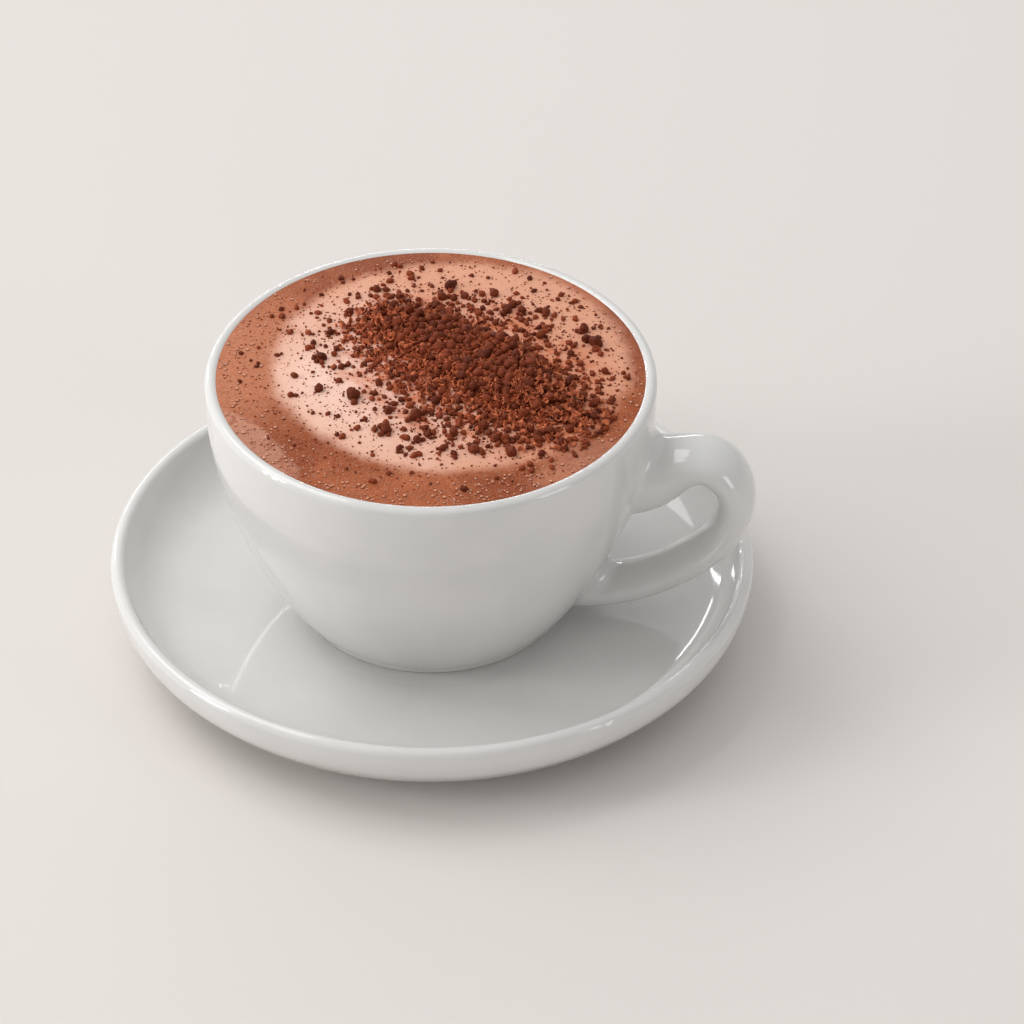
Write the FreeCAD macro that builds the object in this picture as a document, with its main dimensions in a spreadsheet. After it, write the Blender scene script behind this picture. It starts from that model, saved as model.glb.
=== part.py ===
"""Hot chocolate: a wide porcelain cup filled to its brim, on its saucer, with a heap of crumbled chocolate.

The origin is on the table, on the axis of the cup and saucer. +Z is up and the cup's handle points
towards +X, turned a little towards -Y. Lengths are in millimetres.
"""
import FreeCAD
import Part
import math
import os

import Sketcher

Vector = FreeCAD.Vector
doc = FreeCAD.newDocument("HotChocolate")

# ---------------------------------------------------------------- driving dimensions
SIZES = [
    ("saucer_radius", 76.3, "outer radius of the saucer at its lip"),
    ("saucer_height", 20.8, "table to the top of the saucer's lip"),
    ("saucer_lip_radius", 1.7, "radius of the rounded lip"),
    ("saucer_flank_radius", 13.0, "round of the outside, just under the lip"),
    ("saucer_flank_angle", 43.0, "slope of the outside below that round, in degrees from upright"),
    ("saucer_heel_height", 6.2, "height at which the sloping outside turns in under the saucer"),
    ("saucer_underside_height", 2.6, "height of the underside where it meets the foot ring"),
    ("saucer_foot_radius", 45.0, "outer radius of the saucer's foot ring"),
    ("saucer_foot_width", 3.6, "width of the saucer's foot ring"),
    ("saucer_floor_thickness", 6.0, "from the underside inside the foot ring to the seat"),
    ("saucer_seat_height", 8.6, "height of the flat seat that carries the cup"),
    ("saucer_floor_rise", 1.6, "rise of the saucer's floor from the seat to its wall"),
    ("saucer_wall_round", 15.0, "hollow round between the floor and the lip"),
    ("cup_rim_radius", 53.0, "outer radius of the cup at its rim"),
    ("cup_tall", 64.2, "foot of the cup to the top of its rim"),
    ("cup_rim_round", 1.65, "half the thickness of the rounded rim"),
    ("cup_belly_radius", 99.0, "radius of the long curve of the cup's outside"),
    ("cup_heel_height", 2.9, "height of the shelf under the belly, above the foot"),
    ("cup_heel_round", 1.4, "round between the belly and that shelf"),
    ("cup_foot_inset", 2.0, "how far the foot ring stands in from the belly's lower end"),
    ("cup_foot_width", 3.0, "width of the cup's foot ring"),
    ("cup_foot_recess", 1.8, "depth of the hollow inside the foot ring"),
    ("cup_bowl_radius", 93.0, "radius of the long curve of the cup's inside"),
    ("cup_floor_height", 7.5, "height of the inside floor above the foot"),
    ("cup_floor_round", 12.0, "round between the inside wall and the inside floor"),
    ("saucer_seat_margin", 4.5, "how much wider the saucer's seat is than the cup's foot ring"),
    ("drink_drop", 0.35, "from the top of the rim down to the edge of the drink"),
    ("drink_crown", 2.0, "height of the froth's crown above the edge of the drink"),
    ("handle_turn", 10.0, "turn of the handle towards -Y, in degrees"),
    ("handle_upper_drop", 18.5, "top of the rim down to the middle of the handle's upper root"),
    ("handle_lower_rise", 8.2, "foot of the cup up to the middle of the handle's lower root"),
    ("handle_reach", 23.4, "how far the handle's middle line stands out from the cup's side"),
    ("handle_thick", 9.2, "thickness of the handle"),
    ("handle_wide", 15.6, "width of the handle"),
    ("handle_root_round", 2.6, "round where the handle meets the cup"),
    ("foot_edge_round", 0.7, "round on the edges of both foot rings"),
    ("saucer_heel_round", 7.0, "round between the saucer's flank and its underside"),
    ("heap_long", 33.0, "half the length of the heap of crumbled chocolate"),
    ("heap_short", 16.5, "half the width of the heap"),
    ("heap_tall", 3.6, "height of the heap above the froth"),
    ("heap_turn", -41.0, "direction of the heap's length from +X, in degrees"),
    ("heap_east", 9.0, "middle of the heap along X"),
    ("heap_north", 4.5, "middle of the heap along Y"),
    ("heap_sunk", 3.0, "how far the mound reaches down into the froth before the froth is cut from it"),
]

# Sizes that follow from those above, so that the cup always stands on the saucer's seat.
DERIVED = [
    ("cup_belly_fall", "=cup_tall - cup_rim_round - cup_heel_height", "height of the belly's curve"),
    ("cup_foot_radius",
     "=cup_rim_radius - cup_belly_radius + sqrt(cup_belly_radius ^ 2 - cup_belly_fall ^ 2) - cup_foot_inset",
     "outer radius of the cup's foot ring"),
    ("saucer_seat_radius", "=cup_foot_radius + saucer_seat_margin", "radius of the saucer's flat seat"),
]

sheet = doc.addObject("Spreadsheet::Sheet", "Sizes")
for row, (alias, content, meaning) in enumerate(SIZES + DERIVED, start=1):
    sheet.set(f"A{row}", alias)
    sheet.set(f"B{row}", str(content))
    sheet.set(f"C{row}", meaning)
    sheet.setAlias(f"B{row}", alias)
doc.recompute()


def size(alias):
    """The number in the sheet under this alias."""
    return float(getattr(sheet, alias))


# The heap's outline swings in and out by these waves: how many round it, how far, and where each starts.
HEAP_WAVES = [(2, 0.05, 0.6), (3, 0.07, 2.1), (5, 0.06, 0.4), (8, 0.04, 1.7), (13, 0.025, 3.0)]
HEAP_STEPS = 64
# How the mound closes in as it rises: share of the footprint, share of the heap's height.
HEAP_RISE = [(0.88, 0.42), (0.62, 0.80), (0.30, 1.0)]

# How close a point of an edge must be to the place it is looked for: on a line, on the cup's side.
ON_LINE = 0.01
ON_SIDE = 0.05

# ---------------------------------------------------------------- helpers for sketches
SMOOTH = "smooth"
START, END, CENTRE = 1, 2, 3
ORIGIN = (-1, 1)


def plane_of(body, role):
    """One of the body's own origin planes or axes."""
    return next(item for item in body.Origin.OriginFeatures if item.Role == role)


def new_body(name):
    """A body whose label becomes the name of its file."""
    body = doc.addObject("PartDesign::Body", name)
    body.Label = name
    return body


def profile_sketch(body, name):
    """A sketch in the body's YZ plane: its first coordinate is the radius, its second the height."""
    sketch = body.newObject("Sketcher::SketchObject", name)
    sketch.AttachmentSupport = [(plane_of(body, "YZ_Plane"), "")]
    sketch.MapMode = "FlatFace"
    return sketch


def bind(sketch, constraint, label, formula):
    """Add a dimension to a sketch and tie it to the sheet."""
    index = sketch.addConstraint(constraint)
    sketch.renameConstraint(index, label)
    sketch.setExpression(f"Constraints.{label}", formula)


def line(start, end):
    """A straight stretch of a profile."""
    return Part.LineSegment(Vector(*start, 0), Vector(*end, 0))


def arc(centre, radius, first, last):
    """A round stretch of a profile, counter-clockwise from the first angle to the last, in radians."""
    circle = Part.Circle(Vector(*centre, 0), Vector(0, 0, 1), radius)
    return Part.ArcOfCircle(circle, first, last)


def join(sketch, first, first_end, second, second_end, how=None):
    """Join two stretches end to end, smoothly where the profile has no corner."""
    kind = "Tangent" if how == SMOOTH else "Coincident"
    sketch.addConstraint(Sketcher.Constraint(kind, first, first_end, second, second_end))


def level(sketch, index):
    """Keep a line horizontal."""
    sketch.addConstraint(Sketcher.Constraint("Horizontal", index))


def upright(sketch, index):
    """Keep a line vertical."""
    sketch.addConstraint(Sketcher.Constraint("Vertical", index))


def on_axis(sketch, index, end):
    """Keep one end of a line on the axis."""
    sketch.addConstraint(Sketcher.Constraint("PointOnObject", index, end, -2))


def fix_radius(sketch, index, end, label, formula, guess):
    """Distance of a point from the axis."""
    bind(sketch, Sketcher.Constraint("DistanceX", *ORIGIN, index, end, guess), label, formula)


def fix_height(sketch, index, end, label, formula, guess):
    """Height of a point above the sketch's origin."""
    bind(sketch, Sketcher.Constraint("DistanceY", *ORIGIN, index, end, guess), label, formula)


def revolve(body, sketch, name):
    """Turn a profile once around the axis."""
    turned = body.newObject("PartDesign::Revolution", name)
    turned.Profile = sketch
    turned.ReferenceAxis = (sketch, ["V_Axis"])
    turned.Angle = 360
    return turned


def round_rings(body, base, name, alias, rings):
    """Round the circular edges with these radii and heights."""
    wanted = []
    for number, edge in enumerate(base.Shape.Edges, start=1):
        if not isinstance(edge.Curve, Part.Circle):
            continue
        place = edge.Curve.Center
        for radius, height in rings:
            if abs(edge.Curve.Radius - radius) < ON_LINE and abs(place.z - height) < ON_LINE:
                wanted.append(f"Edge{number}")
    fillet = body.newObject("PartDesign::Fillet", name)
    fillet.Base = (base, wanted)
    fillet.setExpression("Radius", f"Sizes.{alias}")
    doc.recompute()
    return fillet


# ---------------------------------------------------------------- the cup's inside, shared with the drink
def bowl_points():
    """Centres and end angles of the round stretches of the cup's inside, from the sheet."""
    rim_round = size("cup_rim_round")
    rim_centre = (size("cup_rim_radius") - rim_round, size("cup_tall") - rim_round)
    wall_radius = size("cup_bowl_radius")
    wall_centre = (rim_centre[0] - rim_round - wall_radius, rim_centre[1])
    floor_round = size("cup_floor_round")
    floor_height = size("cup_floor_height")
    round_height = floor_height + floor_round
    across = math.sqrt((wall_radius - floor_round) ** 2 - (wall_centre[1] - round_height) ** 2)
    round_centre = (wall_centre[0] + across, round_height)
    meet = math.atan2(round_centre[1] - wall_centre[1], round_centre[0] - wall_centre[0])
    return rim_centre, wall_centre, round_centre, meet


def add_bowl(sketch):
    """Draw the cup's floor, its round and its wall, up to the level of the rim's centre."""
    rim_centre, wall_centre, round_centre, meet = bowl_points()
    floor_height = size("cup_floor_height")
    floor = sketch.addGeometry(line((0, floor_height), (round_centre[0], floor_height)))
    turn = sketch.addGeometry(arc(round_centre, size("cup_floor_round"), -math.pi / 2, meet))
    wall = sketch.addGeometry(arc(wall_centre, size("cup_bowl_radius"), meet, 0))
    on_axis(sketch, floor, START)
    level(sketch, floor)
    join(sketch, floor, END, turn, START, SMOOTH)
    join(sketch, turn, END, wall, START, SMOOTH)
    wall_top = rim_centre[0] - size("cup_rim_round")
    bind(sketch, Sketcher.Constraint("Radius", turn, size("cup_floor_round")), "floor_round",
         "Sizes.cup_floor_round")
    bind(sketch, Sketcher.Constraint("Radius", wall, size("cup_bowl_radius")), "wall_round",
         "Sizes.cup_bowl_radius")
    fix_height(sketch, floor, END, "floor_height", "Sizes.cup_floor_height", floor_height)
    fix_radius(sketch, wall, END, "wall_top_radius", "Sizes.cup_rim_radius - 2 * Sizes.cup_rim_round",
               wall_top)
    fix_height(sketch, wall, END, "wall_top_height", "Sizes.cup_tall - Sizes.cup_rim_round", rim_centre[1])
    return floor, wall


# ---------------------------------------------------------------- cup
def cup_outside_radius(height):
    """Radius of the cup's outside at a height above its foot."""
    belly = size("cup_belly_radius")
    below = size("cup_tall") - size("cup_rim_round") - height
    return size("cup_rim_radius") - belly + math.sqrt(belly ** 2 - below ** 2)


def draw_cup_outside(body):
    """Foot ring, heel, belly and the outer half of the rim, filled to the axis."""
    sketch = profile_sketch(body, "CupOutside")
    tall, rim_round = size("cup_tall"), size("cup_rim_round")
    rim_centre = (size("cup_rim_radius") - rim_round, tall - rim_round)
    belly_radius = size("cup_belly_radius")
    belly_centre = (size("cup_rim_radius") - belly_radius, rim_centre[1])
    heel_round, heel_height = size("cup_heel_round"), size("cup_heel_height")
    across = math.sqrt((belly_radius - heel_round) ** 2 - (belly_centre[1] - heel_height - heel_round) ** 2)
    heel_centre = (belly_centre[0] + across, heel_height + heel_round)
    meet = math.atan2(heel_centre[1] - belly_centre[1], heel_centre[0] - belly_centre[0])
    foot, width, recess = size("cup_foot_radius"), size("cup_foot_width"), size("cup_foot_recess")
    corners = [(0, recess), (foot - width, recess), (foot - width, 0), (foot, 0), (foot, heel_height),
               (heel_centre[0], heel_height)]
    lines = [sketch.addGeometry(line(a, b)) for a, b in zip(corners, corners[1:])]
    heel = sketch.addGeometry(arc(heel_centre, heel_round, -math.pi / 2, meet))
    belly = sketch.addGeometry(arc(belly_centre, belly_radius, meet, 0))
    rim = sketch.addGeometry(arc(rim_centre, rim_round, 0, math.pi / 2))
    top = sketch.addGeometry(line((rim_centre[0], tall), (0, tall)))
    axis = sketch.addGeometry(line((0, tall), (0, recess)))
    for first, second in zip(lines, lines[1:]):
        join(sketch, first, END, second, START)
    join(sketch, lines[-1], END, heel, START, SMOOTH)
    join(sketch, heel, END, belly, START, SMOOTH)
    join(sketch, belly, END, rim, START, SMOOTH)
    join(sketch, rim, END, top, START, SMOOTH)
    join(sketch, top, END, axis, START)
    join(sketch, axis, END, lines[0], START)
    for index in (lines[0], lines[2], lines[4], top):
        level(sketch, index)
    for index in (lines[1], lines[3], axis):
        upright(sketch, index)
    on_axis(sketch, axis, START)
    fix_height(sketch, lines[0], END, "recess", "Sizes.cup_foot_recess", recess)
    fix_radius(sketch, lines[1], END, "foot_inside", "Sizes.cup_foot_radius - Sizes.cup_foot_width",
               foot - width)
    sketch.addConstraint(Sketcher.Constraint("PointOnObject", lines[2], START, -1))
    fix_radius(sketch, lines[3], START, "foot_outside", "Sizes.cup_foot_radius", foot)
    fix_height(sketch, lines[3], END, "heel_height", "Sizes.cup_heel_height", heel_height)
    bind(sketch, Sketcher.Constraint("Radius", heel, heel_round), "heel_round", "Sizes.cup_heel_round")
    bind(sketch, Sketcher.Constraint("Radius", belly, belly_radius), "belly_radius", "Sizes.cup_belly_radius")
    bind(sketch, Sketcher.Constraint("Radius", rim, rim_round), "rim_round", "Sizes.cup_rim_round")
    fix_radius(sketch, belly, END, "rim_radius", "Sizes.cup_rim_radius", size("cup_rim_radius"))
    fix_height(sketch, top, END, "tall", "Sizes.cup_tall", tall)
    return sketch


# The handle's middle line as stations: share of the way down from the upper root to the lower one,
# share of the handle's reach out from the cup's side, and shares of its thickness and width.
HANDLE_STATIONS = [
    (0.10, -0.30, 2.35, 1.25),
    (0.045, 0.09, 1.95, 1.18),
    (-0.02, 0.32, 1.38, 1.10),
    (-0.07, 0.57, 1.04, 1.06),
    (0.02, 0.82, 1.00, 1.03),
    (0.19, 0.97, 0.98, 1.00),
    (0.41, 1.00, 0.94, 0.97),
    (0.62, 0.89, 0.92, 0.94),
    (0.80, 0.68, 0.90, 0.92),
    (0.93, 0.41, 0.88, 0.92),
    (0.99, 0.15, 0.87, 0.94),
    (1.00, -0.32, 0.87, 0.96),
]
# Each oval is at least this much wider than it is thick.
LEAST_WIDTH = 1.04


def handle_line():
    """Points of the handle's middle line in its own plane: distance from the axis, height above the foot."""
    upper = size("cup_tall") - size("handle_upper_drop")
    lower = size("handle_lower_rise")
    points = []
    for down, out, _, _ in HANDLE_STATIONS:
        height = upper + (lower - upper) * down
        points.append((cup_outside_radius(height) + size("handle_reach") * out, height))
    return points


def draw_handle_section(body, number, station, point, direction):
    """An oval across the handle's middle line."""
    _, _, thick_share, wide_share = station
    turn = FreeCAD.Rotation(Vector(0, 0, 1), -size("handle_turn"))
    along = turn.multVec(Vector(direction[0], 0, direction[1]))
    across = turn.multVec(Vector(0, 1, 0))
    inward = along.cross(across)
    sketch = body.newObject("Sketcher::SketchObject", f"HandleSection{number}")
    place = turn.multVec(Vector(point[0], 0, point[1]))
    sketch.Placement = FreeCAD.Placement(place, FreeCAD.Rotation(across, inward, along, "ZXY"))
    thick = size("handle_thick") * thick_share
    wide = max(size("handle_wide") * wide_share, thick * LEAST_WIDTH)
    oval = sketch.addGeometry(Part.Ellipse(Vector(wide / 2, 0, 0), Vector(0, thick / 2, 0), Vector(0, 0, 0)))
    sketch.exposeInternalGeometry(oval)
    long_axis, short_axis = oval + 1, oval + 2
    sketch.addConstraint(Sketcher.Constraint("Coincident", oval, CENTRE, *ORIGIN))
    level(sketch, long_axis)
    bind(sketch, Sketcher.Constraint("Distance", long_axis, wide), "wide",
         f"max(Sizes.handle_wide * {wide_share}; Sizes.handle_thick * {thick_share * LEAST_WIDTH:.4f})")
    bind(sketch, Sketcher.Constraint("Distance", short_axis, thick), "thick",
         f"Sizes.handle_thick * {thick_share}")
    return sketch


def add_handle(body):
    """Loft the handle through its ovals and round it into the cup's side."""
    points = handle_line()
    sections = []
    for number, (station, point) in enumerate(zip(HANDLE_STATIONS, points)):
        before = points[max(number - 1, 0)]
        after = points[min(number + 1, len(points) - 1)]
        run = math.hypot(after[0] - before[0], after[1] - before[1])
        direction = ((after[0] - before[0]) / run, (after[1] - before[1]) / run)
        sections.append(draw_handle_section(body, number, station, point, direction))
    loft = body.newObject("PartDesign::AdditiveLoft", "Handle")
    loft.Profile = sections[0]
    loft.Sections = sections[1:]
    return loft


def root_edges(shape):
    """Edges where the handle meets the cup's outside."""
    names = []
    for number, edge in enumerate(shape.Edges, start=1):
        middle = edge.valueAt((edge.FirstParameter + edge.LastParameter) / 2)
        radius = math.hypot(middle.x, middle.y)
        height = middle.z
        on_cup = abs(radius - cup_outside_radius(height)) < ON_SIDE
        whole_turn = isinstance(edge.Curve, Part.Circle)
        on_seam = abs(middle.x) < ON_LINE
        if on_cup and not whole_turn and not on_seam and middle.x > 0:
            names.append(f"Edge{number}")
    return names


def make_cup():
    """Turned outside, lofted handle, rounded roots, then the inside cut out."""
    body = new_body("cup")
    revolve(body, draw_cup_outside(body), "CupSolid")
    doc.recompute()
    loft = add_handle(body)
    doc.recompute()
    fillet = body.newObject("PartDesign::Fillet", "HandleRoots")
    fillet.Base = (loft, root_edges(loft.Shape))
    fillet.setExpression("Radius", "Sizes.handle_root_round")
    doc.recompute()
    inside = profile_sketch(body, "CupInside")
    floor, wall = add_bowl(inside)
    rim_centre = bowl_points()[0]
    rim_round = size("cup_rim_round")
    tall = size("cup_tall")
    rim = inside.addGeometry(arc(rim_centre, rim_round, math.pi / 2, math.pi))
    top = inside.addGeometry(line((rim_centre[0], tall), (0, tall)))
    axis = inside.addGeometry(line((0, tall), (0, size("cup_floor_height"))))
    join(inside, wall, END, rim, END, SMOOTH)
    join(inside, rim, START, top, START, SMOOTH)
    join(inside, top, END, axis, START)
    join(inside, axis, END, floor, START)
    level(inside, top)
    upright(inside, axis)
    bind(inside, Sketcher.Constraint("Radius", rim, rim_round), "rim_round", "Sizes.cup_rim_round")
    hollow = body.newObject("PartDesign::Groove", "CupHollow")
    hollow.Profile = inside
    hollow.ReferenceAxis = (inside, ["V_Axis"])
    hollow.Angle = 360
    doc.recompute()
    foot = size("cup_foot_radius")
    foot_inside = foot - size("cup_foot_width")
    round_rings(body, hollow, "CupFootRound", "foot_edge_round", [(foot, 0), (foot_inside, 0)])
    body.setExpression("Placement.Base.z", "Sizes.saucer_seat_height")
    return body


# ---------------------------------------------------------------- drink
def make_drink():
    """The drink fills the cup to the rim and is crowned by its froth."""
    body = new_body("drink")
    sketch = profile_sketch(body, "DrinkProfile")
    floor, wall = add_bowl(sketch)
    rim_centre = bowl_points()[0]
    rim_round = size("cup_rim_round")
    edge_height = size("cup_tall") - size("drink_drop")
    lift = math.asin((edge_height - rim_centre[1]) / rim_round)
    edge = (rim_centre[0] - rim_round * math.cos(lift), edge_height)
    crown = size("drink_crown")
    crown_radius = (edge[0] ** 2 + crown ** 2) / (2 * crown)
    crown_centre = (0, edge_height + crown - crown_radius)
    reach = math.atan2(edge_height - crown_centre[1], edge[0])
    rim = sketch.addGeometry(arc(rim_centre, rim_round, math.pi - lift, math.pi))
    surface = sketch.addGeometry(arc(crown_centre, crown_radius, reach, math.pi / 2))
    axis = sketch.addGeometry(line((0, edge_height + crown), (0, size("cup_floor_height"))))
    join(sketch, wall, END, rim, END, SMOOTH)
    join(sketch, rim, START, surface, START)
    join(sketch, surface, END, axis, START)
    join(sketch, axis, END, floor, START)
    upright(sketch, axis)
    sketch.addConstraint(Sketcher.Constraint("PointOnObject", surface, CENTRE, -2))
    bind(sketch, Sketcher.Constraint("Radius", rim, rim_round), "rim_round", "Sizes.cup_rim_round")
    fix_height(sketch, surface, START, "edge_height", "Sizes.cup_tall - Sizes.drink_drop", edge_height)
    fix_height(sketch, surface, END, "crown_height", "Sizes.cup_tall - Sizes.drink_drop + Sizes.drink_crown",
               edge_height + crown)
    revolve(body, sketch, "DrinkSolid")
    body.setExpression("Placement.Base.z", "Sizes.saucer_seat_height")
    return body


# ---------------------------------------------------------------- saucer
def make_saucer():
    """Seat, rising floor, hollow wall, rounded lip, flank, underside and foot ring, turned in one."""
    body = new_body("saucer")
    sketch = profile_sketch(body, "SaucerProfile")
    lip = size("saucer_lip_radius")
    lip_centre = (size("saucer_radius") - lip, size("saucer_height") - lip)
    flank = size("saucer_flank_radius")
    flank_centre = (size("saucer_radius") - flank, lip_centre[1])
    slope = math.radians(size("saucer_flank_angle"))
    flank_end = (flank_centre[0] + flank * math.cos(slope), flank_centre[1] - flank * math.sin(slope))
    heel_height = size("saucer_heel_height")
    heel = (flank_end[0] - (flank_end[1] - heel_height) * math.tan(slope), heel_height)
    under, foot = size("saucer_underside_height"), size("saucer_foot_radius")
    foot_inside = foot - size("saucer_foot_width")
    seat = (size("saucer_seat_radius"), size("saucer_seat_height"))
    recess = seat[1] - size("saucer_floor_thickness")
    hollow = size("saucer_wall_round")
    floor_edge_height = seat[1] + size("saucer_floor_rise")
    # The hollow round touches the lip's inner side and, to within the floor's slight slope, the floor.
    hollow_height = floor_edge_height + hollow
    across = math.sqrt((hollow + lip) ** 2 - (hollow_height - lip_centre[1]) ** 2)
    hollow_centre = (lip_centre[0] - across, hollow_height)
    touch = math.atan2(lip_centre[1] - hollow_height, across)
    floor_edge = (hollow_centre[0], floor_edge_height)
    pieces = [
        line((0, seat[1]), seat),
        line(seat, floor_edge),
        arc(hollow_centre, hollow, -math.pi / 2, touch),
        arc(lip_centre, lip, 0, math.pi + touch),
        arc(flank_centre, flank, -slope, 0),
        line(flank_end, heel),
        line(heel, (foot, under)),
        line((foot, under), (foot, 0)),
        line((foot, 0), (foot_inside, 0)),
        line((foot_inside, 0), (foot_inside, recess)),
        line((foot_inside, recess), (0, recess)),
        line((0, recess), (0, seat[1])),
    ]
    (seat_line, floor_line, hollow_arc, lip_arc, flank_arc, flank_line, under_line, foot_side, foot_sole,
     foot_back, recess_line, axis) = [sketch.addGeometry(piece) for piece in pieces]
    join(sketch, seat_line, END, floor_line, START)
    join(sketch, floor_line, END, hollow_arc, START, SMOOTH)
    join(sketch, hollow_arc, END, lip_arc, END, SMOOTH)
    join(sketch, lip_arc, START, flank_arc, END, SMOOTH)
    join(sketch, flank_arc, START, flank_line, START, SMOOTH)
    chain = [flank_line, under_line, foot_side, foot_sole, foot_back, recess_line, axis, seat_line]
    for first, second in zip(chain, chain[1:]):
        join(sketch, first, END, second, START)
    for index in (seat_line, foot_sole, recess_line):
        level(sketch, index)
    for index in (foot_side, foot_back):
        upright(sketch, index)
    on_axis(sketch, axis, START)
    on_axis(sketch, axis, END)
    sketch.addConstraint(Sketcher.Constraint("PointOnObject", foot_sole, START, -1))
    sketch.addConstraint(Sketcher.Constraint("Horizontal", lip_arc, CENTRE, flank_arc, END))
    bind(sketch, Sketcher.Constraint("Radius", hollow_arc, hollow), "wall_round", "Sizes.saucer_wall_round")
    bind(sketch, Sketcher.Constraint("Radius", lip_arc, lip), "lip", "Sizes.saucer_lip_radius")
    bind(sketch, Sketcher.Constraint("Radius", flank_arc, flank), "flank", "Sizes.saucer_flank_radius")
    fix_radius(sketch, seat_line, END, "seat_radius", "Sizes.saucer_seat_radius", seat[0])
    fix_height(sketch, seat_line, END, "seat_height", "Sizes.saucer_seat_height", seat[1])
    fix_height(sketch, floor_line, END, "floor_height", "Sizes.saucer_seat_height + Sizes.saucer_floor_rise",
               floor_edge_height)
    fix_radius(sketch, flank_arc, END, "outer_radius", "Sizes.saucer_radius", size("saucer_radius"))
    fix_height(sketch, flank_arc, END, "lip_height", "Sizes.saucer_height - Sizes.saucer_lip_radius",
               lip_centre[1])
    bind(sketch, Sketcher.Constraint("Angle", flank_line, -(math.pi / 2 + slope)), "flank_angle",
         "-(90 + Sizes.saucer_flank_angle) * 1 deg")
    fix_height(sketch, flank_line, END, "heel_height", "Sizes.saucer_heel_height", heel_height)
    fix_radius(sketch, foot_side, START, "foot_radius", "Sizes.saucer_foot_radius", foot)
    fix_height(sketch, foot_side, START, "underside", "Sizes.saucer_underside_height", under)
    fix_radius(sketch, foot_back, START, "foot_inside", "Sizes.saucer_foot_radius - Sizes.saucer_foot_width",
               foot_inside)
    fix_height(sketch, recess_line, START, "recess",
               "Sizes.saucer_seat_height - Sizes.saucer_floor_thickness", recess)
    turned = revolve(body, sketch, "SaucerSolid")
    doc.recompute()
    round_rings(body, turned, "SaucerHeelRound", "saucer_heel_round", [heel])
    round_rings(body, body.Tip, "SaucerFootRound", "foot_edge_round", [(foot, 0), (foot_inside, 0)])
    return body


# ---------------------------------------------------------------- heap of crumbled chocolate
def heap_outline(share, height):
    """An uneven closed curve around the heap: a share of its footprint, at a height above the table."""
    long_half, short_half = size("heap_long"), size("heap_short")
    turn = math.radians(size("heap_turn"))
    points = []
    for step in range(HEAP_STEPS):
        angle = 2 * math.pi * step / HEAP_STEPS
        uneven = 1.0
        for waves, swing, start in HEAP_WAVES:
            uneven += swing * math.cos(waves * angle + start)
        along = long_half * share * uneven * math.cos(angle)
        across = short_half * share * uneven * math.sin(angle)
        east = size("heap_east") + along * math.cos(turn) - across * math.sin(turn)
        north = size("heap_north") + along * math.sin(turn) + across * math.cos(turn)
        points.append(Vector(east, north, height))
    curve = Part.BSplineCurve()
    curve.interpolate(points, PeriodicFlag=True)
    return Part.Wire([curve.toShape()])


def make_heap(drink):
    """A low mound with an uneven outline, lying on the froth."""
    froth_top = size("saucer_seat_height") + size("cup_tall") - size("drink_drop") + size("drink_crown")
    levels = [(1.0, -size("heap_sunk")), (1.0, 0.0)]
    levels += [(share, tall * size("heap_tall")) for share, tall in HEAP_RISE]
    mound = Part.makeLoft([heap_outline(share, froth_top + rise) for share, rise in levels], True, False)
    shape = mound.cut(drink.Shape)
    heap = doc.addObject("Part::Feature", "chocolate_heap")
    heap.Label = "chocolate_heap"
    heap.Shape = max(shape.Solids, key=lambda solid: solid.Volume)
    return heap


# ---------------------------------------------------------------- build, check and write
cup = make_cup()
drink = make_drink()
saucer = make_saucer()
doc.recompute()
heap = make_heap(drink)
doc.recompute()

faults = [item.Label for item in doc.Objects if {"Invalid", "Error"} & set(item.State)]
if faults:
    raise SystemExit(f"failed objects: {faults}")
parts = [cup, drink, saucer, heap]
for item in parts:
    if item.Shape.isNull() or not item.Shape.isValid():
        raise SystemExit(f"{item.Label} has no valid shape")
    if len(item.Shape.Solids) != 1:
        raise SystemExit(f"{item.Label} has {len(item.Shape.Solids)} solids instead of one")

os.makedirs("parts", exist_ok=True)
for item in parts:
    item.Shape.exportStep(f"parts/{item.Label}.step")
    box = item.Shape.BoundBox
    print(f"{item.Label}: {item.Shape.Volume / 1000:.1f} cm3, x {box.XMin:.1f} {box.XMax:.1f}, "
          f"y {box.YMin:.1f} {box.YMax:.1f}, z {box.ZMin:.1f} {box.ZMax:.1f}")
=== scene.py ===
# %% [markdown]
# # Hot chocolate in its cup
# A wide porcelain cup stands in its deep saucer. It is filled to the brim with hot chocolate: brown at
# the edge, pale milk froth in the middle, and a heap of crumbled chocolate on top. The porcelain comes
# with its true shape from the construction model. This lesson gives it its glaze, gives the drink its
# froth, and lays the chocolate on it crumb by crumb.

# %% Load the construction model
import math
import random

import bmesh
import bpy
from mathutils import Euler, Matrix, Vector, noise
from mathutils.bvhtree import BVHTree


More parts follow.
